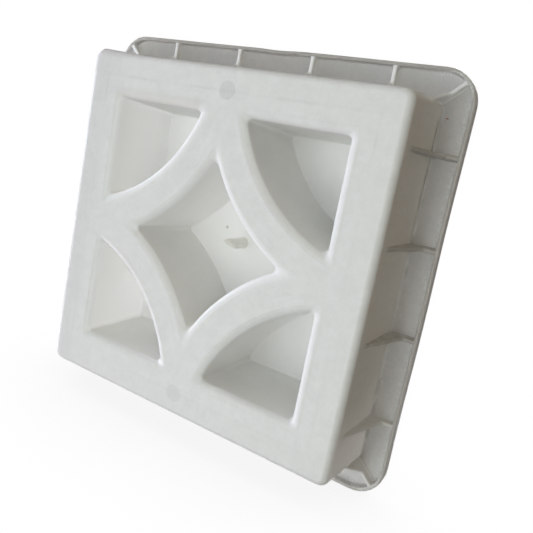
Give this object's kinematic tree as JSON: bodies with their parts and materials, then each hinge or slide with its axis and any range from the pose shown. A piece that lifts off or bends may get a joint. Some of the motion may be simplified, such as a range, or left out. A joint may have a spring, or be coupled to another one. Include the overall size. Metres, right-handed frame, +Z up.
{
  "type": "breeze block casting mould",
  "caption": "Square plastic tray mould for casting a breeze block, with quarter-round corner cores, a hollow-sided star core, a ribbed rim and a turned lip.",
  "frame": {"origin": "middle of the lower edge of the rim, below the centre of the bounding box, with the mould stood on that edge", "axes": "+X to the right looking at the closed tray face, +Y from the tray face to the open casting side, +Z up; the square's sides run along X and Z"},
  "size_m": [0.353, 0.073, 0.353],
  "materials": {
    "polypropylene": "satin, milky natural polypropylene straight from the moulding tool"
  },
  "bodies": {
    "root": {"face_plate": "polypropylene", "tray_wall": "polypropylene", "star_core": "polypropylene", "window_core_lower_left": "polypropylene", "window_core_lower_right": "polypropylene", "window_core_upper_right": "polypropylene", "window_core_upper_left": "polypropylene", "sprue_stub": "polypropylene", "rim_flange": "polypropylene", "rim_lip": "polypropylene", "rib_right_1": "polypropylene", "rib_right_2": "polypropylene", "rib_right_3": "polypropylene", "rib_right_4": "polypropylene", "rib_top_1": "polypropylene", "rib_top_2": "polypropylene", "rib_top_3": "polypropylene", "rib_top_4": "polypropylene", "rib_left_1": "polypropylene", "rib_left_2": "polypropylene", "rib_left_3": "polypropylene", "rib_left_4": "polypropylene", "rib_bottom_1": "polypropylene", "rib_bottom_2": "polypropylene", "rib_bottom_3": "polypropylene", "rib_bottom_4": "polypropylene", "rib_corner_upper_right": "polypropylene", "rib_corner_upper_left": "polypropylene", "rib_corner_lower_left": "polypropylene", "rib_corner_lower_right": "polypropylene"}
  },
  "joints": []
}
